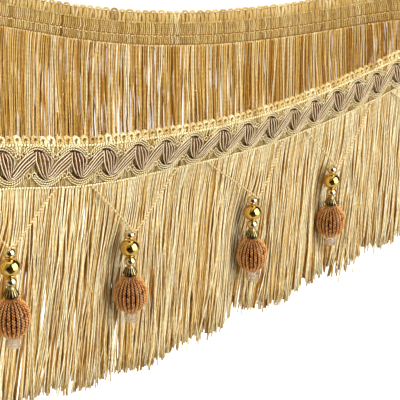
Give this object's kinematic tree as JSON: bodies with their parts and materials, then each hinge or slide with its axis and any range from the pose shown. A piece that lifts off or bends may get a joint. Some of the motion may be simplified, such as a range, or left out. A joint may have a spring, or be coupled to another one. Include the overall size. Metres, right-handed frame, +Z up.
{
  "type": "beaded tassel fringe trim",
  "caption": "Cut length of curtain trim: a picot-edged heading with a zigzag gimp, a long cut fringe, and drops of beads, bell cap and wound ball on V strings.",
  "frame": {"origin": "on the heading tape's top edge, near the middle of the near stretch, where the trim is held", "axes": "+Z up; +X right and +Y away from the near stretch, so the picture looks along +Y from slightly above"},
  "size_m": [0.3481, 0.464, 0.179],
  "materials": {
    "tape_yarn": "knitted champagne-gold yarn with a soft sheen",
    "gimp_cord": "plied cream-gold cord, satin",
    "zigzag_thread": "glossy maroon-brown and silvery beige threads",
    "fringe_yarn": "fine champagne-gold yarn, satin",
    "drop_string": "thin twisted gold string",
    "bead_gold": "polished gold plating",
    "cap_gold": "antique gold, darkened in the flutes",
    "ball_thread": "copper-brown metallic thread, wound in chevrons",
    "clear_tube": "clear moulded plastic"
  },
  "bodies": {
    "root": {"heading_tape": "tape_yarn", "gimp_upper": "gimp_cord", "gimp_zigzag": "zigzag_thread", "gimp_lower": "gimp_cord", "fringe_01": "fringe_yarn", "fringe_02": "fringe_yarn", "fringe_03": "fringe_yarn", "fringe_04": "fringe_yarn", "fringe_05": "fringe_yarn", "fringe_06": "fringe_yarn", "fringe_07": "fringe_yarn", "fringe_08": "fringe_yarn", "fringe_09": "fringe_yarn", "fringe_10": "fringe_yarn", "fringe_11": "fringe_yarn", "drop_1_string": "drop_string", "drop_1_beads": "bead_gold", "drop_1_cap": "cap_gold", "drop_1_ball": "ball_thread", "drop_1_tube": "clear_tube", "drop_2_string": "drop_string", "drop_2_beads": "bead_gold", "drop_2_cap": "cap_gold", "drop_2_ball": "ball_thread", "drop_2_tube": "clear_tube", "drop_3_string": "drop_string", "drop_3_beads": "bead_gold", "drop_3_cap": "cap_gold", "drop_3_ball": "ball_thread", "drop_3_tube": "clear_tube", "drop_4_string": "drop_string", "drop_4_beads": "bead_gold", "drop_4_cap": "cap_gold", "drop_4_ball": "ball_thread", "drop_4_tube": "clear_tube", "drop_5_string": "drop_string", "drop_5_beads": "bead_gold", "drop_5_cap": "cap_gold", "drop_5_ball": "ball_thread", "drop_5_tube": "clear_tube", "drop_6_string": "drop_string", "drop_6_beads": "bead_gold", "drop_6_cap": "cap_gold", "drop_6_ball": "ball_thread", "drop_6_tube": "clear_tube", "drop_7_string": "drop_string", "drop_7_beads": "bead_gold", "drop_7_cap": "cap_gold", "drop_7_ball": "ball_thread", "drop_7_tube": "clear_tube", "drop_8_string": "drop_string", "drop_8_beads": "bead_gold", "drop_8_cap": "cap_gold", "drop_8_ball": "ball_thread", "drop_8_tube": "clear_tube", "drop_9_string": "drop_string", "drop_9_beads": "bead_gold", "drop_9_cap": "cap_gold", "drop_9_ball": "ball_thread", "drop_9_tube": "clear_tube"}
  },
  "joints": []
}
